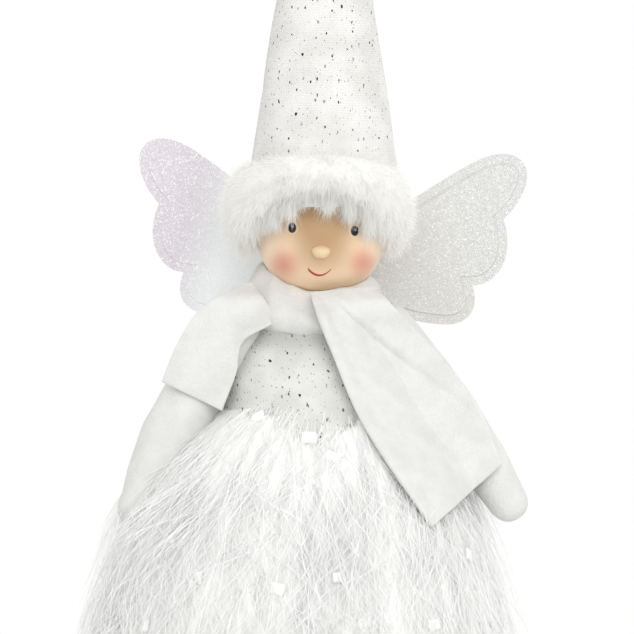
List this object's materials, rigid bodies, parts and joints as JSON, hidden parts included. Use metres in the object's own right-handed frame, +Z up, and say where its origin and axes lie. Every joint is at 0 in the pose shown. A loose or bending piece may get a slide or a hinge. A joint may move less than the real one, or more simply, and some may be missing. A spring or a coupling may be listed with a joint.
{
  "type": "angel figurine",
  "caption": "Standing soft angel with a tall knit hat, fur brim, painted ball head, glitter wings, fleece scarf, stuffed arms and a shaggy fringe skirt over a weighted cone.",
  "frame": {"origin": "centre of the bounding box's bottom, at the height of the felt's underside", "axes": "+Z up along the figure, which faces -Y; +X is the angel's own left"},
  "size_m": [0.1691, 0.166, 0.3992],
  "materials": {
    "white_knit": "matte knit",
    "specked_knit": "matte knit with foil specks",
    "white_fleece": "matte short pile",
    "white_fur": "matte long pile",
    "fringe_yarn": "satin filaments",
    "glitter_sheet": "iridescent glitter",
    "painted_skin": "satin paint",
    "cream_bead": "satin paint",
    "pale_wood": "bare",
    "grey_card": "matte",
    "wadding": "loose fibre",
    "sand_calico": "matte cloth"
  },
  "bodies": {
    "figure": {"base_felt": "white_knit", "base_board": "grey_card", "body_cone": "grey_card", "ballast_bag": "sand_calico", "cone_plug": "pale_wood", "neck_dowel": "pale_wood", "torso_stuffing": "wadding", "bodice": "specked_knit", "skirt_lining": "white_knit", "fringe_tier_1": "fringe_yarn", "fringe_tier_2": "fringe_yarn", "fringe_tier_3": "fringe_yarn", "fringe_tier_4": "fringe_yarn", "fringe_tier_5": "fringe_yarn", "fringe_tier_6": "fringe_yarn", "fringe_tier_7": "fringe_yarn", "head_ball": "painted_skin", "nose_bead": "cream_bead", "hat_shell": "specked_knit", "hat_filling": "wadding", "hat_brim": "white_fur", "scarf_collar": "white_fleece", "wing_patch": "glitter_sheet"},
    "right_arm": {"right_arm_sleeve": "white_fleece", "right_arm_filling": "wadding"},
    "left_arm": {"left_arm_sleeve": "white_fleece", "left_arm_filling": "wadding"},
    "right_wing": {"right_wing_front": "glitter_sheet", "right_wing_core": "grey_card", "right_wing_back": "glitter_sheet"},
    "left_wing": {"left_wing_front": "glitter_sheet", "left_wing_core": "grey_card", "left_wing_back": "glitter_sheet"},
    "long_tail": {"scarf_long_tail": "white_fleece"},
    "short_tail": {"scarf_short_tail": "white_fleece"}
  },
  "joints": [
    {"name": "right_arm_raise", "type": "hinge", "parent": "figure", "child": "right_arm", "pos_m": [-0.02701, 0, 0.199], "axis": [0, 1, 0], "range_deg": [0, 55]},
    {"name": "left_arm_raise", "type": "hinge", "parent": "figure", "child": "left_arm", "pos_m": [0.02486, 0, 0.199], "axis": [0, -1, 0], "range_deg": [0, 55]},
    {"name": "right_wing_flex", "type": "hinge", "parent": "figure", "child": "right_wing", "pos_m": [-0.001, 0.03223, 0.22518], "axis": [-0.0454, 0, -0.999], "range_deg": [-5, 25], "stiffness_Nm_per_rad": 0.01},
    {"name": "left_wing_flex", "type": "hinge", "parent": "figure", "child": "left_wing", "pos_m": [0.007, 0.03223, 0.22482], "axis": [0.0454, 0, 0.999], "range_deg": [-5, 25], "stiffness_Nm_per_rad": 0.01},
    {"name": "long_tail_lift", "type": "hinge", "parent": "figure", "child": "long_tail", "pos_m": [0.0075, -0.01209, 0.21225], "axis": [-0.9404, -0.3244, -0.1022], "range_deg": [0, 60]},
    {"name": "short_tail_lift", "type": "hinge", "parent": "figure", "child": "short_tail", "pos_m": [-0.02265, -0.01645, 0.20625], "axis": [-0.7479, 0.2414, 0.6183], "range_deg": [0, 40]}
  ]
}
